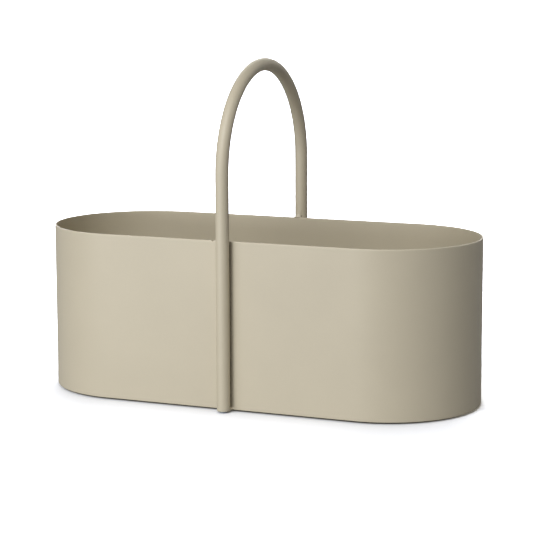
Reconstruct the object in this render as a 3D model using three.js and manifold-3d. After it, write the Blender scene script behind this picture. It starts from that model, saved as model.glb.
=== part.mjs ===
// Open carry toolbox. A strip of sheet steel is rolled to a band with straight sides and half-round ends, a
// flat base is stitch-welded inside its lower edge, and one bent tube makes the handle, its legs welded to the
// outside of the front and rear walls. Millimetres, +Z up. The origin is on the surface that the box stands
// on, at the middle of its plan, with the front wall towards -Y.
import * as THREE from 'three';
import { mergeVertices } from 'three/addons/utils/BufferGeometryUtils.js';
import Module from 'manifold-3d';

const wasm = await Module();
wasm.setup();

// Box: outside sizes, sheets, and how the base sits in the band.
const BOX_LENGTH = 360;
const BOX_WIDTH = 150;
const WALL_HEIGHT = 132;
const WALL_SHEET = 1.2;
const BASE_SHEET = 1.2;
const EDGE_ROUNDING = 0.3;
const FLOOR_GAP = 1.5;
const BASE_RECESS = 3;

// Handle: round tube. Each leg stays straight for LEG_RISE above the rim, where the arch springs.
const TUBE_DIAMETER = 10;
const TUBE_WALL = 1;
const LEG_RISE = 51.2;

// Plugs in the tube's two ends, with barbs along the shank.
const PLUG_FLANGE = 0.9;
const PLUG_SHANK = 13;
const PLUG_BARB = 0.5;
const PLUG_BARB_COUNT = 3;
const PLUG_CHAMFER = 0.3;

// Stick-on pads under the base. The inset is from the wall's inner face to a pad's centre.
const PAD_DIAMETER = 14;
const PAD_INSET = 24;
const PAD_CHAMFER = 0.8;

// Welds. JOINT_GAP is the clearance at every joint that is welded, glued or pushed together.
const JOINT_GAP = 0.3;
const SEAM_WIDTH = 1.6;
const STITCH_COUNT = 8;
const STITCH_LENGTH = 24;
const STITCH_LEG = 2.2;
const STITCH_BULGE = 0.4;
const RIM_BEAD_LENGTH = 8.5;
const RIM_BEAD_OFFSET = 1;
const RIM_BEAD_BREADTH = 3;
const RIM_BEAD_HEIGHT = 4;
const TOE_BEAD_REACH = 6.5;
const TOE_BEAD_BREADTH = 2.4;
const TOE_BEAD_HEIGHT = 3;

// Facets. A three.js arc has twice as many as its curveSegments.
const END_ARC_STEPS = 40;
const ARCH_STEPS = 28;
const ROUND_SIDES = 24;
const EDGE_STEPS = 2;
const STITCH_STEPS = 6;
const BEAD_STEPS = 4;
const DOME_RINGS = 6;

// Sizes that follow from the ones above.
const STRAIGHT = BOX_LENGTH - BOX_WIDTH;
const OUTER_RADIUS = BOX_WIDTH / 2;
const INNER_RADIUS = OUTER_RADIUS - WALL_SHEET;
const RIM_Z = FLOOR_GAP + WALL_HEIGHT;
const BASE_Z = FLOOR_GAP + BASE_RECESS;
const TUBE_RADIUS = TUBE_DIAMETER / 2;
const TUBE_BORE = TUBE_RADIUS - TUBE_WALL;
const LEG_Y = OUTER_RADIUS + JOINT_GAP + TUBE_RADIUS;
const LEG_END_Z = PLUG_FLANGE + JOINT_GAP;
const ARCH_Z = RIM_Z + LEG_RISE;

const coat = { color: '#c4bba6', roughness: 0.55, metalness: 0 };
const greyPlastic = { color: '#8f9596', roughness: 0.5, metalness: 0 };
const padRubber = { color: '#4b4a47', roughness: 0.85, metalness: 0 };

function piece(name, geometry, finish) {
  const mesh = new THREE.Mesh(geometry, new THREE.MeshStandardMaterial(finish));
  mesh.name = name;
  return mesh;
}

// The handle's centre line: up the front leg, over the arch and down the rear leg. A leg is one step.
class HandlePath extends THREE.Curve {
  static steps = ARCH_STEPS + 2;

  getPoint(t, target = new THREE.Vector3()) {
    const station = t * HandlePath.steps;
    if (station <= 1) {
      return target.set(0, -LEG_Y, THREE.MathUtils.lerp(LEG_END_Z, ARCH_Z, station));
    }
    const past = station - 1 - ARCH_STEPS;
    if (past >= 0) {
      return target.set(0, LEG_Y, THREE.MathUtils.lerp(ARCH_Z, LEG_END_Z, past));
    }
    const angle = (Math.PI * (station - 1)) / ARCH_STEPS;
    return target.set(0, -LEG_Y * Math.cos(angle), ARCH_Z + LEG_Y * Math.sin(angle));
  }

  // The stations stay where getPoint puts them, not at equal distances.
  getUtoTmapping(u) {
    return u;
  }
}

// A stretch of the wall's inner face at the base's underside, anticlockwise from above. Distances along it
// start at the middle of the front wall.
class InnerFacePath extends THREE.Curve {
  static arc = Math.PI * INNER_RADIUS;
  static perimeter = 2 * (STRAIGHT + InnerFacePath.arc);

  constructor(from, to) {
    super();
    this.from = from;
    this.to = to;
  }

  getPoint(t, target = new THREE.Vector3()) {
    const along = THREE.MathUtils.lerp(this.from, this.to, t) + STRAIGHT / 2;
    const half = InnerFacePath.perimeter / 2;
    const turned = Math.floor(along / half) % 2 === 1;
    const rest = along % half;
    const angle = Math.max(0, rest - STRAIGHT) / INNER_RADIUS;
    const x = Math.min(rest, STRAIGHT) - STRAIGHT / 2 + INNER_RADIUS * Math.sin(angle);
    const y = -INNER_RADIUS * Math.cos(angle);
    return turned ? target.set(-x, -y, BASE_Z) : target.set(x, y, BASE_Z);
  }
}

// Sheet of a plan shape standing from bottom to top, with both rims rounded.
function sheetGeometry(shape, bottom, top) {
  const geometry = new THREE.ExtrudeGeometry(shape, {
    depth: top - bottom - 2 * EDGE_ROUNDING,
    curveSegments: END_ARC_STEPS / 2,
    bevelThickness: EDGE_ROUNDING,
    bevelSize: EDGE_ROUNDING,
    bevelOffset: -EDGE_ROUNDING,
    bevelSegments: EDGE_STEPS,
  });
  return geometry.translate(0, 0, bottom + EDGE_ROUNDING);
}

// A closed body turned about the vertical from a half profile.
function turnedGeometry(profile) {
  const points = profile.map(([radius, z]) => new THREE.Vector2(radius, z));
  return new THREE.LatheGeometry(points, ROUND_SIDES).rotateX(Math.PI / 2);
}

function solidOf(geometry) {
  const bare = geometry.clone();
  bare.deleteAttribute('normal');
  bare.deleteAttribute('uv');
  const merged = mergeVertices(bare);
  return new wasm.Manifold(new wasm.Mesh({
    numProp: 3,
    vertProperties: merged.getAttribute('position').array,
    triVerts: new Uint32Array(merged.index.array),
  }));
}

function cutGeometry(geometry, cutter) {
  const mesh = solidOf(geometry).subtract(solidOf(cutter)).getMesh();
  const result = new THREE.BufferGeometry();
  result.setAttribute('position', new THREE.BufferAttribute(mesh.vertProperties, 3));
  result.setIndex(new THREE.BufferAttribute(mesh.triVerts, 1));
  result.computeVertexNormals();
  return result;
}

// The rolled strip: an open band whose two ends meet at the seam in the middle of the front wall.
function wallBand() {
  const seam = SEAM_WIDTH / 2 + JOINT_GAP;
  const middle = STRAIGHT / 2;
  const quarter = Math.PI / 2;
  const plan = new THREE.Shape();
  plan.moveTo(seam, -OUTER_RADIUS);
  plan.lineTo(middle, -OUTER_RADIUS);
  plan.absarc(middle, 0, OUTER_RADIUS, -quarter, quarter, false);
  plan.absarc(-middle, 0, OUTER_RADIUS, quarter, 3 * quarter, false);
  plan.lineTo(-seam, -OUTER_RADIUS);
  plan.lineTo(-seam, -INNER_RADIUS);
  plan.absarc(-middle, 0, INNER_RADIUS, 3 * quarter, quarter, true);
  plan.absarc(middle, 0, INNER_RADIUS, quarter, -quarter, true);
  plan.lineTo(seam, -INNER_RADIUS);
  return piece('wall_band', sheetGeometry(plan, FLOOR_GAP, RIM_Z), coat);
}

// The butt weld that closes the band's seam, ground flush on both faces.
function wallSeamWeld() {
  const half = SEAM_WIDTH / 2;
  const plan = new THREE.Shape();
  plan.moveTo(-half, -OUTER_RADIUS);
  plan.lineTo(half, -OUTER_RADIUS);
  plan.lineTo(half, -INNER_RADIUS);
  plan.lineTo(-half, -INNER_RADIUS);
  return piece('wall_seam_weld', sheetGeometry(plan, FLOOR_GAP, RIM_Z), coat);
}

function basePlate() {
  const radius = INNER_RADIUS - JOINT_GAP;
  const quarter = Math.PI / 2;
  const plan = new THREE.Shape();
  plan.absarc(STRAIGHT / 2, 0, radius, -quarter, quarter, false);
  plan.absarc(-STRAIGHT / 2, 0, radius, quarter, 3 * quarter, false);
  return piece('base_plate', sheetGeometry(plan, BASE_Z, BASE_Z + BASE_SHEET), coat);
}

// Short fillets in the corner under the base, spread evenly round the wall. In the section, x runs down from
// the base and y runs in from the wall.
function baseWelds() {
  const section = new THREE.Shape();
  const end = JOINT_GAP + STITCH_LEG;
  const control = JOINT_GAP + STITCH_LEG / 2 + STITCH_BULGE;
  section.moveTo(JOINT_GAP, JOINT_GAP);
  section.lineTo(end, JOINT_GAP);
  section.quadraticCurveTo(control, control, JOINT_GAP, end);
  const pitch = InnerFacePath.perimeter / STITCH_COUNT;
  return Array.from({ length: STITCH_COUNT }, (_, i) => {
    const centre = (i + 0.5) * pitch;
    const path = new InnerFacePath(centre - STITCH_LENGTH / 2, centre + STITCH_LENGTH / 2);
    const geometry = new THREE.ExtrudeGeometry(section, {
      extrudePath: path,
      steps: STITCH_STEPS,
      curveSegments: BEAD_STEPS,
    });
    return piece(`base_weld_${i + 1}`, geometry, coat);
  });
}

function handleTube() {
  const section = new THREE.Shape();
  section.absarc(0, 0, TUBE_RADIUS, 0, 2 * Math.PI, false);
  const bore = new THREE.Path();
  bore.absarc(0, 0, TUBE_BORE, 0, 2 * Math.PI, true);
  section.holes.push(bore);
  const geometry = new THREE.ExtrudeGeometry(section, {
    extrudePath: new HandlePath(),
    steps: HandlePath.steps,
    curveSegments: ROUND_SIDES / 2,
  });
  return piece('handle_tube', geometry, coat);
}

// A plug whose flange closes the tube's end and stands on the floor.
function plugGeometry() {
  const shank = TUBE_BORE - JOINT_GAP;
  const pitch = PLUG_SHANK / PLUG_BARB_COUNT;
  const profile = [
    [0, 0],
    [TUBE_RADIUS - PLUG_CHAMFER, 0],
    [TUBE_RADIUS, PLUG_CHAMFER],
    [TUBE_RADIUS, PLUG_FLANGE],
  ];
  for (let i = 0; i < PLUG_BARB_COUNT; i += 1) {
    profile.push([shank, PLUG_FLANGE + i * pitch]);
    profile.push([shank - PLUG_BARB, PLUG_FLANGE + (i + 1) * pitch]);
  }
  profile.push([0, PLUG_FLANGE + PLUG_SHANK]);
  return turnedGeometry(profile);
}

// A half-ellipsoid bead on a flat back: length along X, breadth along Y, height along Z.
function beadGeometry(length, breadth, height) {
  const profile = [[0, 0]];
  for (let i = 0; i < DOME_RINGS; i += 1) {
    const angle = (i * Math.PI) / 2 / DOME_RINGS;
    profile.push([Math.cos(angle), Math.sin(angle)]);
  }
  profile.push([0, 1]);
  return turnedGeometry(profile).scale(length / 2, breadth / 2, height);
}

// What a weld bead leaves free for the front leg.
function legClearance() {
  const height = RIM_Z + LEG_RISE;
  const geometry = new THREE.CylinderGeometry(
    TUBE_RADIUS + JOINT_GAP, TUBE_RADIUS + JOINT_GAP, height, ROUND_SIDES,
  );
  return geometry.rotateX(Math.PI / 2).translate(0, -LEG_Y, height / 2);
}

// The bead that lies on the rim and climbs the leg.
function rimBeadGeometry() {
  const bead = beadGeometry(RIM_BEAD_LENGTH, RIM_BEAD_BREADTH, RIM_BEAD_HEIGHT);
  bead.translate(RIM_BEAD_OFFSET, -OUTER_RADIUS, RIM_Z + JOINT_GAP);
  return cutGeometry(bead, legClearance());
}

// The bead in the crevice between leg and wall, at the wall's lower edge.
function toeBeadGeometry() {
  const bead = beadGeometry(TOE_BEAD_REACH, TOE_BEAD_HEIGHT, TOE_BEAD_BREADTH);
  bead.rotateX(Math.PI / 2);
  bead.translate(TOE_BEAD_REACH / 2, -OUTER_RADIUS - JOINT_GAP, FLOOR_GAP + TOE_BEAD_HEIGHT / 2);
  return cutGeometry(bead, legClearance());
}

// What joins one leg to the box, made at the front. The rear is the same, given half a turn.
function legFittings(side, turn) {
  const group = new THREE.Group();
  const plug = piece(`leg_plug_${side}`, plugGeometry(), greyPlastic);
  plug.position.y = -LEG_Y;
  group.add(plug);
  group.add(piece(`rim_weld_${side}`, rimBeadGeometry(), coat));
  group.add(piece(`toe_weld_${side}`, toeBeadGeometry(), coat));
  group.rotation.z = turn;
  return group;
}

// Four pads, where the straight walls run into the ends.
function footPads() {
  const radius = PAD_DIAMETER / 2;
  const height = BASE_Z - JOINT_GAP;
  const profile = [
    [0, 0],
    [radius - PAD_CHAMFER, 0],
    [radius, PAD_CHAMFER],
    [radius, height],
    [0, height],
  ];
  const corners = [
    ['front_left', -1, -1],
    ['front_right', 1, -1],
    ['rear_left', -1, 1],
    ['rear_right', 1, 1],
  ];
  return corners.map(([corner, signX, signY]) => {
    const pad = piece(`foot_pad_${corner}`, turnedGeometry(profile), padRubber);
    pad.position.set((signX * STRAIGHT) / 2, signY * (INNER_RADIUS - PAD_INSET), 0);
    return pad;
  });
}

const toolbox = new THREE.Group();
toolbox.add(wallBand(), wallSeamWeld(), basePlate(), ...baseWelds());
toolbox.add(handleTube(), legFittings('front', 0), legFittings('rear', Math.PI));
toolbox.add(...footPads());

export default toolbox;
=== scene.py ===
"""Looks of an open carry toolbox: a rolled sheet band, a welded base and an arched tube handle.

The metal is powder coated, the plugs in the handle's ends are plastic and the pads under the base are rubber.
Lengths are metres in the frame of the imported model: +X along the box, -Y to the front, +Z up.
"""
import logging
import math
from dataclasses import dataclass, field
from enum import Enum
from typing import Any, Sequence

import bpy
import numpy as np
from bpy.types import ID, Light, Material, Mesh, Node, NodeSocket, NodeTree, Object, World
from mathutils import Matrix, Vector


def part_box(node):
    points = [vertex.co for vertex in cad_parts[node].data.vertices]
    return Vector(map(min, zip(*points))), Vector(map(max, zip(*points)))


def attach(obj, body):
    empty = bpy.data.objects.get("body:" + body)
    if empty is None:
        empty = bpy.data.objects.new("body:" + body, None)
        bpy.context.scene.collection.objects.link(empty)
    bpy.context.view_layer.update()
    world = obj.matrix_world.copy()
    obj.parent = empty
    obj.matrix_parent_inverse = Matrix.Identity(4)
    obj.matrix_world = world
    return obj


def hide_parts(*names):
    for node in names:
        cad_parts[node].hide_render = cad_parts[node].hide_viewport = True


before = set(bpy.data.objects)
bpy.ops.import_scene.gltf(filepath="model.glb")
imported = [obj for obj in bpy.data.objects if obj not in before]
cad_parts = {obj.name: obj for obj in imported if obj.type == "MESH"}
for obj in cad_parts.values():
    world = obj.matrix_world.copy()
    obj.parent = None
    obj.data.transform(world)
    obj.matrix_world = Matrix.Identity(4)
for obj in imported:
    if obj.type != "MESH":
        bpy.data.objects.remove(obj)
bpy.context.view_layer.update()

LOG = logging.getLogger("toolbox")
MM = 0.001
BODY = "root"
WEAR_AND_SHADE_ATTRIBUTE = "edge_wear"
LAMP_AIM = Vector((0.0, 0.0, 70 * MM))
SUN_DISTANCE = 2.0
# Most of a noise texture's values lie in this range.
NOISE_RANGE = {"From Min": 0.3, "From Max": 0.7}
NOISE_ROUGHNESS = 0.55
NOISE_DETAIL = 2.0

Colour = tuple[float, float, float]
Point = tuple[float, float, float]
FlatPoint = tuple[float, float]
WHITE: Colour = (1.0, 1.0, 1.0)


class Side(Enum):
    """The two long walls, each with one leg of the handle."""

    FRONT = "front"
    REAR = "rear"

    @property
    def turn(self) -> Matrix:
        """Turn about Z that carries what is made at the front to this side."""
        return Matrix.Rotation(0.0 if self is Side.FRONT else math.pi, 4, "Z")


class Ray(Enum):
    """Rays that see the white backdrop and not the plain light on the object."""

    CAMERA = "Is Camera Ray"
    GLOSSY = "Is Glossy Ray"
    TRANSMISSION = "Is Transmission Ray"


def linear(red: int, green: int, blue: int) -> Colour:
    """Linear colour of an 8-bit display colour.

    Args:
        red: Red, 0 to 255.
        green: Green, 0 to 255.
        blue: Blue, 0 to 255.

    Returns:
        The three linear components.
    """
    def channel(value: int) -> float:
        """Linear value of one channel."""
        share = value / 255
        return share / 12.92 if share <= 0.04045 else ((share + 0.055) / 1.055) ** 2.4
    return channel(red), channel(green), channel(blue)


class NodeSheet:
    """A node tree under construction, with short calls to add and join nodes."""

    def __init__(self, tree: NodeTree) -> None:
        """Takes an empty tree."""
        self.tree = tree

    def add(self, kind: str, inputs: dict[str, Any] | None = None, **settings: Any) -> Node:
        """Adds a node.

        Args:
            kind: Blender's name of the node's type.
            inputs: Values or output sockets, by the input's identifier.
            **settings: Properties of the node.

        Returns:
            The new node.
        """
        node = self.tree.nodes.new(kind)
        for name, value in settings.items():
            setattr(node, name, value)
        sockets = {socket.identifier: socket for socket in node.inputs}
        for name, value in (inputs or {}).items():
            self.feed(sockets[name], value)
        return node

    def feed(self, socket: NodeSocket, value: Any) -> None:
        """Links an output to an input socket, or sets the socket's own value.

        Args:
            socket: The input.
            value: An output socket, a number, a tuple of numbers or a data block.
        """
        if isinstance(value, NodeSocket):
            self.tree.links.new(value, socket)
        elif isinstance(value, tuple) and socket.type == "RGBA":
            socket.default_value = (*value, 1.0)
        else:
            socket.default_value = value

    def math(self, operation: str, first: Any, second: Any = 0.0, clamp: bool = False) -> NodeSocket:
        """Adds a Math node, whose result stays between 0 and 1 where it is clamped."""
        inputs = {"Value": first, "Value_001": second}
        return self.add("ShaderNodeMath", inputs, operation=operation, use_clamp=clamp).outputs[0]


class ShaderSheet(NodeSheet):
    """A material's or the world's node tree."""

    def __init__(self, owner: Material | World) -> None:
        """Empties the owner's tree.

        Args:
            owner: The material or world that the nodes belong to.
        """
        owner.use_nodes = True
        owner.node_tree.nodes.clear()
        super().__init__(owner.node_tree)

    def vector(self, operation: str, first: Any, second: Any = None,
               out: str = "Vector") -> NodeSocket:
        """Adds a Vector Math node.

        Args:
            operation: The node's operation.
            first: First vector or socket.
            second: Second vector or socket, where the operation has one.
            out: Name of the result's socket.

        Returns:
            The result's socket.
        """
        inputs = {"Vector": first}
        if second is not None:
            inputs["Vector_001"] = second
        return self.add("ShaderNodeVectorMath", inputs, operation=operation).outputs[out]

    def scaled(self, colour: Colour, gain: NodeSocket) -> NodeSocket:
        """Multiplies a colour by a value."""
        inputs = {"Vector": colour, "Scale": gain}
        return self.add("ShaderNodeVectorMath", inputs, operation="SCALE").outputs["Vector"]

    def noise(self, where: NodeSocket, size: float) -> NodeSocket:
        """Reads a Noise Texture, whose bumps have a size in metres, as a value of about 0 to 1."""
        inputs = {"Vector": where, "Scale": 1 / size, "Detail": NOISE_DETAIL, "Roughness": NOISE_ROUGHNESS}
        return self.add("ShaderNodeTexNoise", inputs).outputs["Fac"]

    def remap(self, value: NodeSocket, low: float, high: float) -> NodeSocket:
        """Spreads a noise over the range from low to high."""
        inputs = {"Value": value, **NOISE_RANGE, "To Min": low, "To Max": high}
        return self.add("ShaderNodeMapRange", inputs).outputs["Result"]

    def seen_by(self, rays: Sequence[Ray]) -> NodeSocket:
        """Gives 1 for the rays that see the white backdrop, and 0 for those that light the object.

        Args:
            rays: The rays that see it.

        Returns:
            The value's socket.
        """
        path = self.add("ShaderNodeLightPath")
        found = path.outputs[rays[0].value]
        for ray in rays[1:]:
            found = self.math("MAXIMUM", found, path.outputs[ray.value])
        return found


@dataclass(frozen=True)
class PowderCoat:
    """Satin powder coat: orange peel, fine grain, slight mottling, thin rubbed edges, and painted shade where
    a mesh marks it.
    """

    name: str
    colour: Colour
    roughness: float
    gloss: float
    peel_size: float = 1.6 * MM
    peel_depth: float = 0.010 * MM
    grain_size: float = 0.45 * MM
    grain_depth: float = 0.005 * MM
    mottle_size: float = 60 * MM
    mottle: float = 0.02
    speckle: float = 0.02
    wear_and_shade_gain: float = 1.10
    wear_and_shade_patch: float = 0.8
    roughness_spread: float = 0.05

    def material(self) -> Material:
        """Makes the finish as a procedural material.

        Returns:
            The material.
        """
        made = bpy.data.materials.new(self.name)
        sheet = ShaderSheet(made)
        where = sheet.add("ShaderNodeTexCoord").outputs["Object"]
        peel = sheet.noise(where, self.peel_size)
        grain = sheet.noise(where, self.grain_size)
        mottle = sheet.remap(sheet.noise(where, self.mottle_size), 1 - self.mottle, 1 + self.mottle)
        speckle = sheet.remap(grain, 1 - self.speckle, 1 + self.speckle)
        # The mark is above zero on rubbed edges, which come out lighter, and below zero where shade is
        # painted darker.
        rubbed = sheet.add("ShaderNodeAttribute", attribute_name=WEAR_AND_SHADE_ATTRIBUTE).outputs["Fac"]
        patchy_wear_and_shade = sheet.math("MULTIPLY", rubbed, sheet.remap(peel, self.wear_and_shade_patch, 1.0))
        wear_and_shade = sheet.math("ADD", 1.0, sheet.math("MULTIPLY", patchy_wear_and_shade, self.wear_and_shade_gain - 1))
        gain = sheet.math("MULTIPLY", sheet.math("MULTIPLY", mottle, speckle), wear_and_shade)
        low = sheet.add("ShaderNodeBump", {"Strength": 1.0, "Distance": self.peel_depth, "Height": peel})
        fine = sheet.add("ShaderNodeBump", {
            "Strength": 1.0, "Distance": self.grain_depth, "Height": grain, "Normal": low.outputs["Normal"]})
        spread = self.roughness_spread
        rough = sheet.remap(peel, self.roughness - spread, self.roughness + spread)
        shader = sheet.add("ShaderNodeBsdfPrincipled", {
            "Base Color": sheet.scaled(self.colour, gain), "Roughness": rough,
            "Normal": fine.outputs["Normal"], "Specular IOR Level": self.gloss})
        sheet.add("ShaderNodeOutputMaterial", {"Surface": shader.outputs["BSDF"]})
        return made


@dataclass(frozen=True)
class Moulding:
    """Moulded plastic or rubber: one colour with slight clouding and a fine matte grain."""

    name: str
    colour: Colour
    roughness: float
    grain_size: float
    grain_depth: float
    clouding: float
    cloud_ratio: float = 12.0
    roughness_spread: float = 0.06

    def material(self) -> Material:
        """Makes the finish as a procedural material.

        Returns:
            The material.
        """
        made = bpy.data.materials.new(self.name)
        sheet = ShaderSheet(made)
        where = sheet.add("ShaderNodeTexCoord").outputs["Object"]
        grain = sheet.noise(where, self.grain_size)
        clouds = sheet.noise(where, self.cloud_ratio * self.grain_size)
        gain = sheet.remap(clouds, 1 - self.clouding, 1 + self.clouding)
        bump = sheet.add("ShaderNodeBump", {"Strength": 1.0, "Distance": self.grain_depth, "Height": grain})
        spread = self.roughness_spread
        rough = sheet.remap(grain, self.roughness - spread, self.roughness + spread)
        shader = sheet.add("ShaderNodeBsdfPrincipled", {
            "Base Color": sheet.scaled(self.colour, gain), "Roughness": rough,
            "Normal": bump.outputs["Normal"]})
        sheet.add("ShaderNodeOutputMaterial", {"Surface": shader.outputs["BSDF"]})
        return made


def add_object(name: str, data: ID) -> Object:
    """Adds an object to the scene.

    Args:
        name: The object's name.
        data: Its mesh, lamp or camera.

    Returns:
        The object.
    """
    made = bpy.data.objects.new(name, data)
    bpy.context.scene.collection.objects.link(made)
    return made


class GeometryTree(NodeSheet):
    """A geometry node tree with named inputs for its sizes."""

    def __init__(self, name: str) -> None:
        """Starts an empty tree.

        Args:
            name: The tree's name.
        """
        super().__init__(bpy.data.node_groups.new(name, "GeometryNodeTree"))
        self.tree.interface.new_socket("Geometry", in_out="OUTPUT", socket_type="NodeSocketGeometry")
        self.source = self.tree.nodes.new("NodeGroupInput")
        self.values: dict[str, Any] = {}

    def size(self, name: str, value: Any, kind: str = "NodeSocketFloat") -> NodeSocket:
        """Adds a named input.

        Args:
            name: The input's name.
            value: What this object sets it to.
            kind: The socket's type.

        Returns:
            The socket that gives the value inside the tree.
        """
        item = self.tree.interface.new_socket(name, in_out="INPUT", socket_type=kind)
        self.values[item.identifier] = value
        return self.source.outputs[name]

    def sweep(self, path: NodeSocket, radius: NodeSocket, sides: int, scale: Any = 1.0) -> NodeSocket:
        """Sweeps a round section along a curve, and closes the ends.

        Args:
            path: The curve.
            radius: The section's radius.
            sides: Number of points round the section.
            scale: Share of the radius along the curve.

        Returns:
            The solid's socket.
        """
        section = self.add("GeometryNodeCurvePrimitiveCircle", {"Resolution": sides, "Radius": radius})
        return self.add("GeometryNodeCurveToMesh", {
            "Curve": path, "Profile Curve": section.outputs[0], "Scale": scale,
            "Fill Caps": True}).outputs[0]

    def mesh(self, geometry: NodeSocket, material: Material) -> Mesh:
        """Ends the tree, runs it and gives its result as a plain mesh.

        Args:
            geometry: The finished geometry inside the tree.
            material: Finish of the whole piece.

        Returns:
            The mesh, with the material in its slot.
        """
        real = self.add("GeometryNodeRealizeInstances", {"Geometry": geometry}).outputs[0]
        dressed = self.add("GeometryNodeSetMaterial", {"Geometry": real, "Material": material}).outputs[0]
        end = self.tree.nodes.new("NodeGroupOutput")
        self.tree.links.new(dressed, end.inputs["Geometry"])
        carrier = add_object(self.tree.name, bpy.data.meshes.new(self.tree.name))
        modifier = carrier.modifiers.new(self.tree.name, "NODES")
        modifier.node_group = self.tree
        for identifier, value in self.values.items():
            modifier[identifier] = value
        shape = carrier.evaluated_get(bpy.context.evaluated_depsgraph_get())
        made = bpy.data.meshes.new_from_object(shape)
        carrier.modifiers.remove(modifier)
        bpy.data.objects.remove(carrier)
        return made


def smooth_mesh(points: np.ndarray, faces: list[list[int]]) -> Mesh:
    """Makes a smooth-shaded mesh, which takes its name from its piece later.

    Args:
        points: Its points, shaped (points, 3).
        faces: The points' numbers round each face.

    Returns:
        The mesh.
    """
    made = bpy.data.meshes.new("shape")
    made.from_pydata(points.tolist(), [], faces)
    made.shade_smooth()
    return made


def grid_mesh(rows: np.ndarray, caps: bool) -> Mesh:
    """Skins rings of points: each row is one closed ring.

    Args:
        rows: Points, shaped (rings, points in a ring, 3).
        caps: True closes the first and last ring with flat faces, False joins the last ring to the first.

    Returns:
        The closed mesh.
    """
    rings, count = rows.shape[:2]
    index = np.arange(rings * count).reshape(rings, count)
    ahead = np.roll(index, -1, axis=1)
    above, above_ahead = np.roll(index, -1, axis=0), np.roll(ahead, -1, axis=0)
    last = rings - 1 if caps else rings
    faces = np.stack([index, ahead, above_ahead, above], axis=-1)[:last].reshape(-1, 4).tolist()
    if caps:
        faces += [index[0][::-1].tolist(), index[-1].tolist()]
    return smooth_mesh(rows.reshape(-1, 3), faces)


def sharpen(mesh: Mesh, degrees: float = 40.0) -> Mesh:
    """Marks the edges that turn by more than an angle as sharp."""
    mesh.set_sharp_from_angle(angle=math.radians(degrees))
    return mesh


def turned_mesh(profile: Sequence[FlatPoint], sides: int) -> Mesh:
    """Turns a half profile about the Z axis.

    Args:
        profile: Radius and height of each ring, from the bottom up.
        sides: Number of points in a ring.

    Returns:
        The closed mesh.
    """
    angles = np.linspace(0, 2 * math.pi, sides, endpoint=False)
    round_part = np.stack([np.cos(angles), np.sin(angles), np.zeros(sides)], axis=-1)
    rows = np.stack([radius * round_part + (0, 0, height) for radius, height in profile])
    return sharpen(grid_mesh(rows, caps=True))


def quarter(centre: FlatPoint, radius: float, start: float, steps: int) -> list[FlatPoint]:
    """Points of a quarter circle in a profile, anticlockwise from a start in degrees, with both ends."""
    angles = np.radians(np.linspace(start, start + 90, steps + 1))
    return [(centre[0] + radius * math.cos(a), centre[1] + radius * math.sin(a)) for a in angles]


def surface_of(field_values: np.ndarray, origin: np.ndarray, step: float) -> Mesh:
    """Skins the region of a grid where a field is below zero.

    Each cell that the surface crosses gets one vertex, at the middle of its edges' crossings.

    Args:
        field_values: The field on a grid, above zero all over its border.
        origin: Place of the grid's first point.
        step: Distance between grid points.

    Returns:
        The closed mesh, with its faces pointing out.
    """
    inside = field_values < 0
    cells = tuple(n - 1 for n in field_values.shape)
    total, hits = np.zeros((*cells, 3)), np.zeros(cells)
    crossings = []
    for axis in range(3):
        low = [slice(None)] * 3
        high = [slice(None)] * 3
        low[axis], high[axis] = slice(0, -1), slice(1, None)
        before, after = field_values[tuple(low)], field_values[tuple(high)]
        cut = inside[tuple(low)] != inside[tuple(high)]
        share = np.where(cut, before / np.where(cut, before - after, 1), 0)
        grid = np.meshgrid(*[np.arange(n) for n in cut.shape], indexing="ij")
        spot = np.stack(grid, axis=-1).astype(float)
        spot[..., axis] += share
        crossings.append(cut)
        others = [a for a in range(3) if a != axis]
        for shift in ((0, 0), (0, 1), (1, 0), (1, 1)):
            part = [slice(None)] * 3
            for other, move in zip(others, shift):
                part[other] = slice(move, cells[other] + move)
            total += np.where(cut[tuple(part)][..., None], spot[tuple(part)], 0)
            hits += cut[tuple(part)]
    number = np.cumsum(hits.ravel() > 0).reshape(cells) - 1
    points = origin + step * total[hits > 0] / hits[hits > 0][:, None]
    faces: list[list[int]] = []
    for axis, cut in enumerate(crossings):
        second, third = (axis + 1) % 3, (axis + 2) % 3
        for place in np.argwhere(cut):
            corner = []
            for move in ((0, 0), (-1, 0), (-1, -1), (0, -1)):
                cell = place.copy()
                cell[second] += move[0]
                cell[third] += move[1]
                corner.append(int(number[tuple(cell)]))
            faces.append(corner[::-1] if inside[tuple(place)] else corner)
    return smooth_mesh(points, faces)


def mark_wear_and_shade(mesh: Mesh, wear_and_shade: np.ndarray) -> None:
    """Writes a mark at each point: above zero where the coat is rubbed, and below zero where painted shade
    darkens it.
    """
    values = mesh.attributes.new(WEAR_AND_SHADE_ATTRIBUTE, "FLOAT", "POINT")
    values.data.foreach_set("value", wear_and_shade.astype(np.float32).ravel())


def place_piece(name: str, mesh: Mesh, nodes: Sequence[str],
                material: Material | None = None) -> None:
    """Puts a finished mesh into the scene in place of CAD nodes.

    Args:
        name: The piece's name.
        mesh: Its mesh, in the frame's own coordinates.
        nodes: CAD nodes that it stands for.
        material: Finish, where the mesh has none yet.
    """
    mesh.name = name
    if material is not None:
        mesh.materials.append(material)
    piece = add_object(name, mesh)
    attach(piece, BODY)
    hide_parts(*nodes)
    LOG.info("%s: %d faces, stands for %s", name, len(mesh.polygons), ", ".join(nodes))


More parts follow.
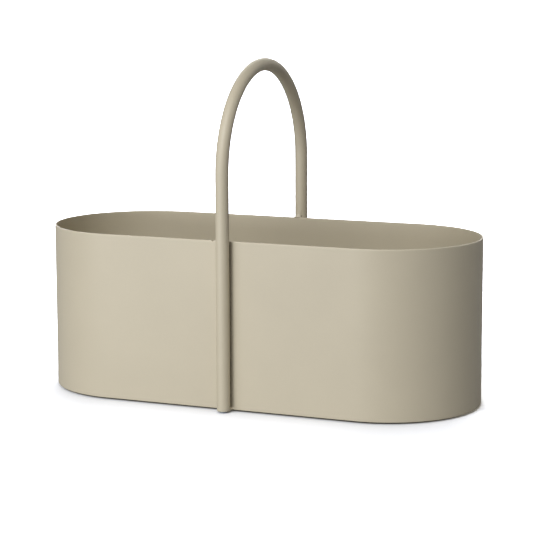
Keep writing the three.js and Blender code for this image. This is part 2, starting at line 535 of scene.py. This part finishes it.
@dataclass(frozen=True)
class ObroundPlan:
    """Plan of the band: two straight walls and two half-round ends, walked anticlockwise from above."""

    straight: float
    radius: float

    @property
    def perimeter(self) -> float:
        """Length of the outline."""
        return 2 * (self.straight + math.pi * self.radius)

    def walk(self, along: np.ndarray) -> tuple[np.ndarray, np.ndarray]:
        """Points and outward directions at distances from the middle of the front wall.

        Args:
            along: Distances along the outline.

        Returns:
            Points on the outline and unit normals, each shaped (distances, 2).
        """
        half = self.perimeter / 2
        shifted = np.mod(along + self.straight / 2, self.perimeter)
        sign = np.where(shifted < half, 1.0, -1.0)
        rest = np.mod(shifted, half)
        angle = np.clip(rest - self.straight, 0, None) / self.radius
        normal = np.stack([np.sin(angle), -np.cos(angle)], axis=-1)
        base = np.stack([np.minimum(rest, self.straight) - self.straight / 2, np.zeros_like(rest)], axis=-1)
        return sign[:, None] * (base + self.radius * normal), sign[:, None] * normal

    def stations(self, straight_steps: int, arc_steps: int) -> np.ndarray:
        """Distances that follow the outline, with few points on the straights and many on the ends.

        Args:
            straight_steps: Number of steps on each straight wall.
            arc_steps: Number of steps on each half-round end.

        Returns:
            The distances, from the start of the front wall.
        """
        middle = self.straight / 2
        arc = math.pi * self.radius
        knots = [-middle, middle, middle + arc, middle + arc + self.straight, self.perimeter - middle]
        counts = [straight_steps, arc_steps, straight_steps, arc_steps]
        runs = [np.linspace(a, b, n, endpoint=False) for a, b, n in zip(knots, knots[1:], counts)]
        return np.concatenate(runs)


@dataclass
class BoxShell:
    """The rolled band, its seam, the base and the stitch welds under it."""

    coat: Material
    sheet: float = 1.2 * MM
    edge: float = 0.45 * MM
    edge_steps: int = 5
    # Rings of points this far from an edge keep the flat faces flat in smooth shading.
    support: float = 1.5 * MM
    straight_steps: int = 12
    arc_steps: int = 96
    # The edges are rubbed as far as their rounding, but for its last point.
    rubbed_share: float = 0.999
    # A nick in the rim, left of the front leg. Reaches count in half widths.
    nick_at: float = -10.7 * MM
    nick_half: float = 0.42 * MM
    nick_depth: float = 0.9 * MM
    nick_reach: float = 4.0
    nick_steps: int = 32
    # Painted shade darkens the coat in the deep corner behind each leg.
    leg_shade_half: float = 7.2 * MM
    leg_shade_strength: float = 5.0
    leg_shade_power: int = 4
    leg_shade_reach: float = 1.5
    leg_shade_steps: int = 30
    # How far the base reaches into the wall, and the coat's fillet on top of it.
    base_sunk: float = 0.4 * MM
    corner_fillet: float = 0.9 * MM
    fillet_steps: int = 6
    seam_half: float = 0.8 * MM
    seam_proud: float = 0.1 * MM
    seam_steps: int = 8
    stitch_count: int = 8
    stitch_length: float = 24 * MM
    stitch_radius: float = 1.7 * MM
    stitch_sides: int = 16
    stitch_inset: float = 0.8 * MM
    stitch_drop: float = 0.7 * MM
    # Just under half the width, so that the fillets of the stitches' outline don't meet.
    stitch_bend: float = 0.4999
    ripple_pitch: float = 1.5 * MM
    ripple_depth: float = 0.12
    ripple_steps: int = 6
    taper_power: float = 12.0
    low: Vector = field(init=False)
    high: Vector = field(init=False)
    plan: ObroundPlan = field(init=False)

    def __post_init__(self) -> None:
        """Reads the band's outside sizes from the frame."""
        self.low, self.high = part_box("wall_band")
        radius = self.high.y
        self.plan = ObroundPlan(2 * (self.high.x - radius), radius)

    @property
    def inner(self) -> ObroundPlan:
        """Plan of the wall's inner face."""
        return ObroundPlan(self.plan.straight, self.plan.radius - self.sheet)

    def build(self) -> None:
        """Builds and places every piece of the shell."""
        self.build_band()
        self.build_seam()
        self.build_base()
        self.build_stitches()

    def front_wall_distance(self, y: np.ndarray, z: np.ndarray) -> np.ndarray:
        """Distance from points to the front wall, as a long plate with rounded edges.

        Args:
            y: The points' places across the box.
            z: Their heights.

        Returns:
            The distances, below zero inside the plate.
        """
        middle = -self.plan.radius + self.sheet / 2
        over = np.maximum(z - self.high.z, self.low.z - z) + self.edge
        thick = np.abs(y - middle) - self.sheet / 2 + self.edge
        outside = np.hypot(np.maximum(over, 0), np.maximum(thick, 0))
        return outside + np.minimum(np.maximum(over, thick), 0) - self.edge

    def band_profile(self) -> np.ndarray:
        """Section of the sheet, up the outside and down the inside.

        Returns:
            Distance out from the outer face and height of each point.
        """
        low, high, edge = self.low.z, self.high.z, self.edge
        inner = -self.sheet
        heights = [low + edge + self.support, (low + high) / 2, high - edge - self.support]
        points = [(0.0, z) for z in heights]
        points += quarter((-edge, high - edge), edge, 0, self.edge_steps)
        points += quarter((inner + edge, high - edge), edge, 90, self.edge_steps)
        points += [(inner, z) for z in heights[::-1]]
        points += quarter((inner + edge, low + edge), edge, 180, self.edge_steps)
        points += quarter((-edge, low + edge), edge, 270, self.edge_steps)
        return np.array(points)

    def build_band(self) -> None:
        """Sweeps the sheet's section round the plan, with a small nick in the rim beside the front leg."""
        reach = np.linspace(-self.nick_reach, self.nick_reach, self.nick_steps + 1)
        nick = self.nick_at + self.nick_half * reach
        # Extra stations beside each leg carry the painted shade there.
        beside_leg = self.leg_shade_half * np.linspace(-self.leg_shade_reach, self.leg_shade_reach, self.leg_shade_steps + 1)
        opposite = beside_leg + self.plan.perimeter / 2
        outline = self.plan.stations(self.straight_steps, self.arc_steps)
        along = np.unique(np.concatenate([outline, nick, beside_leg, opposite]))
        points, normals = self.plan.walk(along)
        profile = self.band_profile()
        flat = points[:, None, :] + normals[:, None, :] * profile[None, :, :1]
        dip = self.nick_depth * np.exp(-((along - self.nick_at) / self.nick_half) ** 2)
        near_rim = np.clip((profile[:, 1] - self.high.z + self.support) / self.support, 0, 1)
        height = profile[None, :, 1] - dip[:, None] * near_rim[None, :]
        rows = np.concatenate([flat, height[..., None]], axis=-1)
        mesh = grid_mesh(rows.transpose(1, 0, 2), caps=False)
        mark_wear_and_shade(mesh, self.band_wear_and_shade(profile, points))
        place_piece("band", mesh, ["wall_band"], self.coat)

    def band_wear_and_shade(self, profile: np.ndarray, points: np.ndarray) -> np.ndarray:
        """How the coat varies: rubbed on the sheet's edges, and darkened by painted shade in the deep corner
        behind each leg.

        Args:
            profile: The section's points.
            points: The outline's points.

        Returns:
            Value for each point of each ring: above zero where rubbed, and below zero where shade is painted.
        """
        to_edge = np.minimum(profile[:, 1] - self.low.z, self.high.z - profile[:, 1])
        rubbed = to_edge < self.edge * self.rubbed_share
        outside = (profile[:, 0] == 0.0) & ~rubbed
        # Painted shade: the outer face is darkened beside each leg, where the crevice lies in shade.
        leg_shade_mask = np.clip(1 - (np.abs(points[:, 0]) / self.leg_shade_half) ** self.leg_shade_power, 0, 1)
        leg_shade = self.leg_shade_strength * outside[:, None] * leg_shade_mask[None, :]
        return rubbed[:, None] - leg_shade

    def build_seam(self) -> None:
        """Sweeps the faint line of the ground seam up the inside of the front wall."""
        angles = np.linspace(0, math.pi, self.seam_steps + 1)
        across = self.seam_half * np.cos(angles)
        proud = self.seam_proud * np.sin(angles)
        inner = self.inner.radius
        section = [(x, -inner + y) for x, y in zip(across, proud)]
        section += [(-self.seam_half, -inner - self.sheet / 2), (self.seam_half, -inner - self.sheet / 2)]
        heights = (self.low.z + self.edge, self.high.z - self.edge)
        rows = np.array([[(x, y, z) for x, y in section] for z in heights])
        mesh = sharpen(grid_mesh(rows, caps=True))
        place_piece("seam_line", mesh, ["wall_seam_weld"], self.coat)

    def build_base(self) -> None:
        """Builds the base, with a small coat fillet where its top meets the wall."""
        low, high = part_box("base_plate")
        along = self.inner.stations(self.straight_steps, self.arc_steps)
        points, normals = self.inner.walk(along)
        sunk = self.base_sunk
        fillet = self.corner_fillet
        rise = quarter((-fillet, high.z + fillet), fillet, 270, self.fillet_steps)
        profile = [(-self.support, low.z), (sunk, low.z), (sunk, high.z + fillet), *rise[::-1]]
        profile.append((-fillet - self.support, high.z))
        rows = [np.column_stack([points + normals * out, np.full(len(along), z)]) for out, z in profile]
        mesh = sharpen(grid_mesh(np.stack(rows), caps=True))
        place_piece("base", mesh, ["base_plate"], self.coat)

    def build_stitches(self) -> None:
        """Lays rippled weld beads in the corner under the base, spread evenly round the wall."""
        tree = GeometryTree("stitch_welds")
        line = ObroundPlan(self.inner.straight, self.inner.radius - self.stitch_inset)
        length = tree.size("Outline length", line.straight + 2 * line.radius)
        width = tree.size("Outline width", 2 * line.radius)
        bead = tree.size("Bead radius", self.stitch_radius)
        run = tree.size("Bead length", self.stitch_length)
        pitch = tree.size("Bead pitch", line.perimeter / self.stitch_count)
        ripple = tree.size("Ripple pitch", self.ripple_pitch)
        depth = tree.size("Ripple depth", self.ripple_depth)
        level = tree.size("Bead height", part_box("base_plate")[0].z - self.stitch_drop)
        box = tree.add("GeometryNodeCurvePrimitiveQuadrilateral", {"Width": length, "Height": width})
        outline = tree.add("GeometryNodeFilletCurve", {
            "Curve": box.outputs[0], "Count": self.arc_steps // 2, "Limit Radius": True,
            "Radius": tree.math("MULTIPLY", width, self.stitch_bend)}, mode="POLY")
        copies = tree.add("GeometryNodeDuplicateElements", {
            "Geometry": outline.outputs[0], "Amount": self.stitch_count}, domain="SPLINE")
        middle = tree.math("MULTIPLY", tree.math("ADD", copies.outputs["Duplicate Index"], 0.5), pitch)
        half_run = tree.math("MULTIPLY", run, 0.5)
        stretch = tree.add("GeometryNodeTrimCurve", {
            "Curve": copies.outputs["Geometry"], "Start_001": tree.math("SUBTRACT", middle, half_run),
            "End_001": tree.math("ADD", middle, half_run)}, mode="LENGTH")
        step = tree.math("DIVIDE", ripple, float(self.ripple_steps))
        fine = tree.add("GeometryNodeResampleCurve", {
            "Curve": stretch.outputs[0], "Length": step}, mode="LENGTH")
        lift = tree.add("ShaderNodeCombineXYZ", {"Z": level})
        raised = tree.add("GeometryNodeSetPosition", {"Geometry": fine.outputs[0], "Offset": lift.outputs[0]})
        spline = tree.add("GeometryNodeSplineParameter")
        phase = tree.math("MULTIPLY", tree.math("DIVIDE", spline.outputs["Length"], ripple), 2 * math.pi)
        wave = tree.math("MULTIPLY", tree.math("SINE", phase), depth)
        from_middle = tree.math("ABSOLUTE", tree.math("SUBTRACT", spline.outputs["Factor"], 0.5))
        ends = tree.math("POWER", tree.math("MULTIPLY", from_middle, 2.0), self.taper_power)
        taper = tree.math("SQRT", tree.math("SUBTRACT", 1.0, ends))
        scale = tree.math("MULTIPLY", tree.math("ADD", 1.0, wave), taper)
        solid = tree.sweep(raised.outputs[0], bead, self.stitch_sides, scale)
        smooth = tree.add("GeometryNodeSetShadeSmooth", {"Geometry": solid})
        nodes = [f"base_weld_{i + 1}" for i in range(self.stitch_count)]
        place_piece("stitch_welds", tree.mesh(smooth.outputs[0], self.coat), nodes)


@dataclass(frozen=True)
class WeldBead:
    """Weld metal that fills the corner between the front leg and the wall around one spot.

    Places are measured from an edge of the wall's outer face, straight behind the leg. Blend is the size of
    the fillet, crown is how proud the metal stands, and lean is how far its top lies along the wall.
    """

    offset: Point
    half_length: float
    half_depth: float
    rise: float
    drop: float
    blend: float
    crown: float
    lean: float = 0.0
    # A painted shadow at the bead's end, where the gap between the leg and the rim lies in shade.
    gap_shadow: FlatPoint | None = None
    gap_shadow_radius: float = 0.8 * MM
    gap_shadow_strength: float = -8.0
    gap_shadow_power: int = 4
    cell: float = 0.16 * MM
    border_cells: int = 2
    margin: float = 1.45
    least_blend: float = 1e-3

    def mesh(self, handle: "CarryHandle", edge: float, side: Side) -> Mesh:
        """Grows the bead on the leg and the wall, and skins it.

        Args:
            handle: Gives the leg and the wall.
            edge: Height of the wall's edge that the bead sits at.
            side: Wall that the bead is turned to.

        Returns:
            The bead, sunk a little into what it joins outside its reach.
        """
        anchor = np.array((0.0, -handle.shell.plan.radius, edge))
        centre = anchor + np.array(self.offset)
        border = self.border_cells * self.cell
        low_reach = np.array((self.half_length, self.half_depth, self.drop))
        high_reach = np.array((self.half_length, self.half_depth, self.rise))
        origin = centre - self.margin * low_reach - border
        end = centre + self.margin * high_reach + border
        axes = [np.arange(a, b + self.cell, self.cell) for a, b in zip(origin, end)]
        x, y, z = np.meshgrid(*axes, indexing="ij")
        up = z - centre[2]
        share_up = up / np.where(up < 0, self.drop, self.rise)
        share_x = (x - centre[0] - self.lean * np.clip(share_up, 0, 1)) / self.half_length
        share_y = (y - centre[1]) / self.half_depth
        away = np.sqrt(share_x ** 2 + share_y ** 2 + share_up ** 2)
        leg = np.hypot(x, y + handle.leg_y) - handle.coated
        wall = handle.shell.front_wall_distance(y, z)
        # The leg and the wall flow into one another, most of all in the middle of the bead.
        near = np.clip(1 - away ** 2, -1, 1)
        soft = self.blend * np.clip(near, self.least_blend, 1)
        overlap = np.clip(1 - np.abs(leg - wall) / soft, 0, 1)
        grown = np.minimum(leg, wall) - overlap ** 2 * soft / 4 - self.crown * near
        clipped = np.maximum(grown, (away - self.margin) * low_reach.min())
        made = surface_of(clipped, origin, self.cell)
        # Paints the shadow of the gap at the bead's end.
        if self.gap_shadow is not None:
            self.paint_gap_shadow(made, anchor[[0, 2]] + np.array(self.gap_shadow))
        made.transform(side.turn)
        return made

    def paint_gap_shadow(self, mesh: Mesh, gap_shadow: np.ndarray) -> None:
        """Paints a shadow on the end of the bead, where the gap between the leg and the rim lies in shade.

        Args:
            mesh: The bead at the front.
            gap_shadow: The painted shadow's place along the box and its height.
        """
        places = np.array([vertex.co for vertex in mesh.vertices])[:, (0, 2)]
        away = np.linalg.norm(places - gap_shadow, axis=1) / self.gap_shadow_radius
        mark_wear_and_shade(mesh, self.gap_shadow_strength * np.exp(-away ** self.gap_shadow_power))


@dataclass
class CarryHandle:
    """The bent tube, the plugs in its ends and the beads that weld its legs to the walls."""

    coat: Material
    plastic: Material
    shell: BoxShell
    sides: int = 48
    leg_steps: int = 3
    arch_steps: int = 120
    coat_build: float = 0.2 * MM
    # The tube ends this much higher than its solid, so that the plug's flange shows.
    end_lift: float = 0.5 * MM
    # The plug's flange and shank, as shares of the tube's radius.
    dome_rim: float = 0.70
    dome_flat: float = 0.58
    dome_steps: int = 8
    shank_share: float = 0.66
    rim_bead: WeldBead = WeldBead(
        offset=(0.9 * MM, 0.5 * MM, 0.3 * MM), half_length=3.7 * MM, half_depth=2.3 * MM, rise=7.5 * MM,
        drop=0.9 * MM, blend=3.8 * MM, crown=0.55 * MM, lean=-1.6 * MM, gap_shadow=(-2.5 * MM, 0.9 * MM))
    toe_bead: WeldBead = WeldBead(
        offset=(4.4 * MM, -1.3 * MM, 0.7 * MM), half_length=3.6 * MM, half_depth=2.6 * MM, rise=1.8 * MM,
        drop=1.1 * MM, blend=5.0 * MM, crown=0.4 * MM)
    low: Vector = field(init=False)
    high: Vector = field(init=False)

    def __post_init__(self) -> None:
        """Reads the tube's place from the frame."""
        self.low, self.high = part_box("handle_tube")

    @property
    def radius(self) -> float:
        """Outer radius of the tube."""
        return self.high.x

    @property
    def coated(self) -> float:
        """Outer radius of the tube with its coat."""
        return self.radius + self.coat_build

    @property
    def leg_y(self) -> float:
        """Distance of each leg's axis from the middle of the box, which is the arch's radius too."""
        return self.high.y - self.radius

    @property
    def arch_z(self) -> float:
        """Height of the arch's centre."""
        return self.high.z - self.radius - self.leg_y

    def build(self) -> None:
        """Builds and places every piece of the handle."""
        self.build_tube()
        for side in Side:
            self.build_plug(side)
            self.build_welds(side)

    def build_tube(self) -> None:
        """Sweeps the tube up the front leg, over the arch and down the rear leg."""
        tree = GeometryTree("handle_bow")
        offset = tree.size("Leg offset", self.leg_y)
        centre = tree.size("Arch height", self.arch_z)
        leg = tree.size("Leg length", self.arch_z - self.low.z - self.end_lift)
        radius = tree.size("Tube radius", self.coated)
        line = tree.add("GeometryNodeCurvePrimitiveLine")
        leg_steps, arch_steps = float(self.leg_steps), float(self.arch_steps)
        count = 2 * self.leg_steps + self.arch_steps + 1
        path = tree.add("GeometryNodeResampleCurve", {"Curve": line.outputs[0], "Count": count}, mode="COUNT")
        station = tree.add("GeometryNodeInputIndex").outputs[0]
        past_leg = tree.math("SUBTRACT", station, leg_steps)
        turn = tree.math("MULTIPLY", tree.math("DIVIDE", past_leg, arch_steps, clamp=True), math.pi)
        front = tree.math("SUBTRACT", 1.0, tree.math("DIVIDE", station, leg_steps), clamp=True)
        past_arch = tree.math("SUBTRACT", past_leg, arch_steps)
        rear = tree.math("DIVIDE", past_arch, leg_steps, clamp=True)
        drop = tree.math("MULTIPLY", tree.math("ADD", front, rear), leg)
        across = tree.math("MULTIPLY", tree.math("MULTIPLY", tree.math("COSINE", turn), offset), -1.0)
        arch = tree.math("ADD", tree.math("MULTIPLY", tree.math("SINE", turn), offset), centre)
        place = tree.add("ShaderNodeCombineXYZ", {"Y": across, "Z": tree.math("SUBTRACT", arch, drop)})
        bent = tree.add("GeometryNodeSetPosition", {
            "Geometry": path.outputs[0], "Position": place.outputs[0]})
        solid = tree.sweep(bent.outputs[0], radius, self.sides)
        mesh = sharpen(tree.mesh(solid, self.coat))
        place_piece("handle_bow", mesh, ["handle_tube"])

    def build_plug(self, side: Side) -> None:
        """Turns the plug whose flange closes one leg.

        Args:
            side: Wall that the leg stands at.
        """
        node = f"leg_plug_{side.value}"
        low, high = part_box(node)
        flange = self.low.z + self.end_lift - low.z
        shank = self.radius * self.shank_share
        arc = np.radians(np.linspace(0, 90, self.dome_steps + 1))
        rim, flat = self.radius * self.dome_rim, self.radius * self.dome_flat
        profile = [(flat + (rim - flat) * math.sin(a), flange * (1 - math.cos(a))) for a in arc]
        profile += [(shank, flange), (shank, high.z - low.z)]
        mesh = turned_mesh(profile, self.sides)
        centre = (low + high) / 2
        mesh.transform(Matrix.Translation((centre.x, centre.y, low.z)))
        place_piece(f"plug_{side.value}", mesh, [node], self.plastic)

    def build_welds(self, side: Side) -> None:
        """Grows the two beads that hold one leg: on the rim, and at the wall's lower edge.

        Args:
            side: Wall that the leg stands at.
        """
        beads = {"rim": (self.rim_bead, self.shell.high.z), "toe": (self.toe_bead, self.shell.low.z)}
        for kind, (bead, edge) in beads.items():
            nodes = [f"{kind}_weld_{side.value}"]
            mesh = bead.mesh(self, edge, side)
            place_piece(f"{kind}_fillet_{side.value}", mesh, nodes, self.coat)


@dataclass
class FootPads:
    """The four stick-on pads that lift the box off the floor."""

    rubber: Material
    rounding: float = 0.9 * MM
    rounding_steps: int = 5
    top_edge: float = 0.3 * MM
    sides: int = 48
    corners: tuple[str, ...] = ("front_left", "front_right", "rear_left", "rear_right")

    def build(self) -> None:
        """Turns one pad and sets it at the corners of a rectangle."""
        nodes = [f"foot_pad_{corner}" for corner in self.corners]
        low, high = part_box("foot_pad_rear_right")
        radius = (high.x - low.x) / 2
        centre = (low + high) / 2
        edge = self.rounding
        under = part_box("base_plate")[0].z
        lower = quarter((radius - edge, edge), edge, 270, self.rounding_steps)
        upper = [(radius, under - self.top_edge), (radius - self.top_edge, under)]
        profile = [(radius - 2 * edge, 0.0), *lower, *upper]
        source = add_object("pad", turned_mesh(profile, self.sides))
        tree = GeometryTree("pads")
        pad = tree.size("Pad", source, "NodeSocketObject")
        span_x = tree.size("Span along box", 2 * centre.x)
        span_y = tree.size("Span across box", 2 * centre.y)
        corners = tree.add("GeometryNodeCurvePrimitiveQuadrilateral", {
            "Width": span_x, "Height": span_y})
        shape = tree.add("GeometryNodeObjectInfo", {"Object": pad})
        copies = tree.add("GeometryNodeInstanceOnPoints", {
            "Points": corners.outputs[0], "Instance": shape.outputs["Geometry"]})
        mesh = tree.mesh(copies.outputs[0], self.rubber)
        bpy.data.objects.remove(source)
        place_piece("pads", mesh, nodes)


def direction(azimuth: float, elevation: float) -> Vector:
    """Unit vector at degrees about Z, from the front towards +X, and degrees above the floor."""
    turn, rise = math.radians(azimuth), math.radians(elevation)
    return Vector((math.sin(turn) * math.cos(rise), -math.cos(turn) * math.cos(rise), math.sin(rise)))


@dataclass(frozen=True)
class StudioLamp:
    """A lamp that is turned to the middle of the box."""

    name: str
    azimuth: float
    elevation: float
    level: float

    def hang(self, lamp: Light, distance: float) -> Object:
        """Puts the lamp into the scene.

        Args:
            lamp: The lamp's data.
            distance: How far it stands from the middle of the box.

        Returns:
            The lamp's object.
        """
        place = distance * direction(self.azimuth, self.elevation) + LAMP_AIM
        holder = add_object(self.name, lamp)
        holder.location = place
        holder.rotation_euler = (LAMP_AIM - place).to_track_quat("-Z", "Y").to_euler()
        return holder


@dataclass(frozen=True)
class SoftSun(StudioLamp):
    """A broad, even light from one direction, as a large far soft box gives."""

    spread: float
    colour: Colour = WHITE

    def build(self) -> None:
        """Adds the light: at level 1 a white surface that faces it renders white."""
        lamp = bpy.data.lights.new(self.name, "SUN")
        lamp.color = self.colour
        lamp.energy, lamp.angle = math.pi * self.level, math.radians(self.spread)
        self.hang(lamp, SUN_DISTANCE)


@dataclass(frozen=True)
class SoftBox(StudioLamp):
    """A near, wide strip of light, which falls off from the front of the box to its back."""

    distance: float
    width: float
    height: float

    def build(self) -> None:
        """Adds the light: at level 1 a white surface that faces it in the middle renders about white."""
        lamp = bpy.data.lights.new(self.name, "AREA")
        lamp.shape, lamp.size, lamp.size_y = "RECTANGLE", self.width, self.height
        lamp.energy = self.level * (math.pi * self.distance) ** 2
        self.hang(lamp, self.distance).visible_camera = False


@dataclass
class Studio:
    """White sweep, soft lights and the camera at the photograph's viewing angle."""

    plan: ObroundPlan
    camera_azimuth: float = 23.04
    camera_elevation: float = 9.18
    camera_distance: float = 1.545
    camera_roll: float = -0.19
    aim: Point = (5.39 * MM, 0.0, 100.26 * MM)
    lens: float = 128.0
    sensor: float = 36.0
    floor_half: float = 60.0
    floor_albedo: float = 0.48
    # The floor's brightness to the camera: a painted contact shadow under the box, and clear of it in front
    # and behind.
    painted_contact_shadow: float = 0.15
    lift_front: float = 1.9
    lift_behind: float = 6.0
    floor_tint: Colour = (0.91, 0.935, 1.0)
    # The painted shadow fades out from just inside the box's outline, over a length that is longest in front.
    shade_azimuth: float = 5.0
    shade_inset: float = 4 * MM
    shade_side: float = 4 * MM
    shade_front: float = 94 * MM
    shade_back: float = 30 * MM
    shade_power: float = 0.25
    shade_lean: float = 2.0
    ambient: float = 0.01
    lights: tuple[SoftSun | SoftBox, ...] = (
        SoftBox("key", azimuth=-22.0, elevation=3.5, level=0.32, distance=0.9, width=0.75, height=0.15),
        SoftSun("front_top", azimuth=-5.0, elevation=40.0, level=0.64, spread=36.0),
        SoftSun("over", azimuth=45.0, elevation=72.0, level=0.07, spread=60.0),
        SoftSun("side", azimuth=95.0, elevation=36.0, level=0.08, spread=60.0, colour=(1.0, 0.91, 0.72)),
        SoftSun("behind", azimuth=-152.0, elevation=14.0, level=0.38, spread=40.0),
        SoftSun("below", azimuth=0.0, elevation=-85.0, level=0.22, spread=30.0),
    )

    def build(self) -> None:
        """Sets the stage."""
        self.build_world()
        self.build_floor()
        for light in self.lights:
            light.build()
        self.build_camera()
        bpy.context.scene.view_settings.view_transform = "Standard"

    def build_world(self) -> None:
        """Makes the world white to the camera and a plain ambient light to the object."""
        world = bpy.data.worlds.new("studio")
        bpy.context.scene.world = world
        sheet = ShaderSheet(world)
        inputs = {"Value": sheet.seen_by(tuple(Ray)), "To Min": self.ambient, "To Max": 1.0}
        strength = sheet.add("ShaderNodeMapRange", inputs).outputs["Result"]
        light = sheet.add("ShaderNodeBackground", {"Color": WHITE, "Strength": strength})
        sheet.add("ShaderNodeOutputWorld", {"Surface": light.outputs[0]})

    def from_core(self, sheet: ShaderSheet) -> NodeSocket:
        """Gives the way on the floor from the nearest point of the box's middle line.

        Args:
            sheet: Tree to add the nodes to.

        Returns:
            The vector's socket.
        """
        reach = (self.plan.straight / 2, 0.0, 0.0)
        where = sheet.add("ShaderNodeTexCoord").outputs["Object"]
        below = sheet.vector("MINIMUM", where, reach)
        core = sheet.vector("MAXIMUM", below, tuple(-value for value in reach))
        return sheet.vector("SUBTRACT", where, core)

    def floor_shade(self, sheet: ShaderSheet, away: NodeSocket) -> NodeSocket:
        """Gives the floor's brightness to the camera: a painted shadow, dark under the box, and lifted to
        white clear of it.

        Args:
            sheet: Tree to add the nodes to.
            away: The way from the box's middle line.

        Returns:
            The value's socket.
        """
        forwards = tuple(direction(self.shade_azimuth, 0.0))
        distance = sheet.vector("LENGTH", away, out="Value")
        facing = sheet.vector("DOT_PRODUCT", sheet.vector("NORMALIZE", away), forwards, out="Value")
        behind = sheet.math("MAXIMUM", sheet.math("MULTIPLY", facing, -1.0), 0.0)
        lean = sheet.math("POWER", sheet.math("MAXIMUM", facing, 0.0), self.shade_lean)
        tail = sheet.math("POWER", behind, self.shade_lean)
        ahead = sheet.math("ADD", sheet.math("MULTIPLY", lean, self.shade_front), self.shade_side)
        fade = sheet.math("ADD", sheet.math("MULTIPLY", tail, self.shade_back), ahead)
        inner = self.plan.radius - self.shade_inset
        start = sheet.math("ADD", sheet.math("MULTIPLY", tail, self.shade_inset), inner)
        share = sheet.math("DIVIDE", sheet.math("SUBTRACT", distance, start), fade, clamp=True)
        extra = sheet.math("MULTIPLY", behind, self.lift_behind - self.lift_front)
        lift = sheet.math("ADD", extra, self.lift_front)
        clear = sheet.math("POWER", share, self.shade_power)
        # Painted shadow: darkest under the box, fading to the lifted white away from it.
        inputs = {"Value": clear, "To Min": self.painted_contact_shadow, "To Max": lift}
        return sheet.add("ShaderNodeMapRange", inputs).outputs["Result"]

    def floor_material(self) -> Material:
        """Makes the floor matt white with a painted shadow round the box, and open to the light from below
        the box.

        Returns:
            The material.
        """
        made = bpy.data.materials.new("white_floor")
        sheet = ShaderSheet(made)
        away = self.from_core(sheet)
        # Glossy rays see the plain floor, because the lifted one would light the box.
        shade = sheet.add("ShaderNodeMapRange", {
            "Value": sheet.seen_by((Ray.CAMERA, Ray.TRANSMISSION)), "To Min": self.floor_albedo,
            "To Max": self.floor_shade(sheet, away)}).outputs["Result"]
        matt = sheet.add("ShaderNodeBsdfDiffuse", {"Color": sheet.scaled(self.floor_tint, shade)})
        under = sheet.math("LESS_THAN", sheet.vector("LENGTH", away, out="Value"), self.plan.radius)
        shadow = sheet.add("ShaderNodeLightPath").outputs["Is Shadow Ray"]
        below = sheet.add("ShaderNodeNewGeometry").outputs["Backfacing"]
        open_to = sheet.math("MAXIMUM", below, sheet.math("MULTIPLY", under, shadow))
        clear = sheet.add("ShaderNodeBsdfTransparent")
        blend = sheet.add("ShaderNodeMixShader", {
            "Fac": open_to, "Shader": matt.outputs["BSDF"], "Shader_001": clear.outputs["BSDF"]})
        sheet.add("ShaderNodeOutputMaterial", {"Surface": blend.outputs["Shader"]})
        return made

    def build_floor(self) -> None:
        """Lays the floor, which is stage and not a part of the box."""
        half = self.floor_half
        corners = [(-half, -half, 0), (half, -half, 0), (half, half, 0), (-half, half, 0)]
        mesh = bpy.data.meshes.new("floor")
        mesh.from_pydata(corners, [], [(0, 1, 2, 3)])
        mesh.materials.append(self.floor_material())
        add_object("floor", mesh)

    def build_camera(self) -> None:
        """Sets the camera where the photograph was taken from."""
        data = bpy.data.cameras.new("camera")
        data.lens, data.sensor_width = self.lens, self.sensor
        holder = add_object("camera", data)
        back = direction(self.camera_azimuth, self.camera_elevation)
        place = Matrix.Translation(Vector(self.aim) + self.camera_distance * back)
        facing = (-back).to_track_quat("-Z", "Y").to_matrix().to_4x4()
        roll = Matrix.Rotation(math.radians(self.camera_roll), 4, "Z")
        holder.matrix_world = place @ facing @ roll
        bpy.context.scene.camera = holder


def main() -> None:
    """Builds the toolbox piece by piece, then the studio."""
    logging.basicConfig(level=logging.INFO, format="%(name)s %(message)s")
    coat = PowderCoat("beige_powder_coat", linear(194, 185, 163), roughness=0.5, gloss=0.68)
    plastic = Moulding("grey_plug_plastic", linear(164, 171, 176), roughness=0.45,
                       grain_size=0.4 * MM, grain_depth=0.004 * MM, clouding=0.04)
    rubber = Moulding("pad_rubber", linear(74, 73, 70), roughness=0.8,
                      grain_size=0.5 * MM, grain_depth=0.012 * MM, clouding=0.08)
    coated = coat.material()
    shell = BoxShell(coated)
    shell.build()
    CarryHandle(coated, plastic.material(), shell).build()
    FootPads(rubber.material()).build()
    Studio(shell.plan).build()


if __name__ == "__main__":
    main()
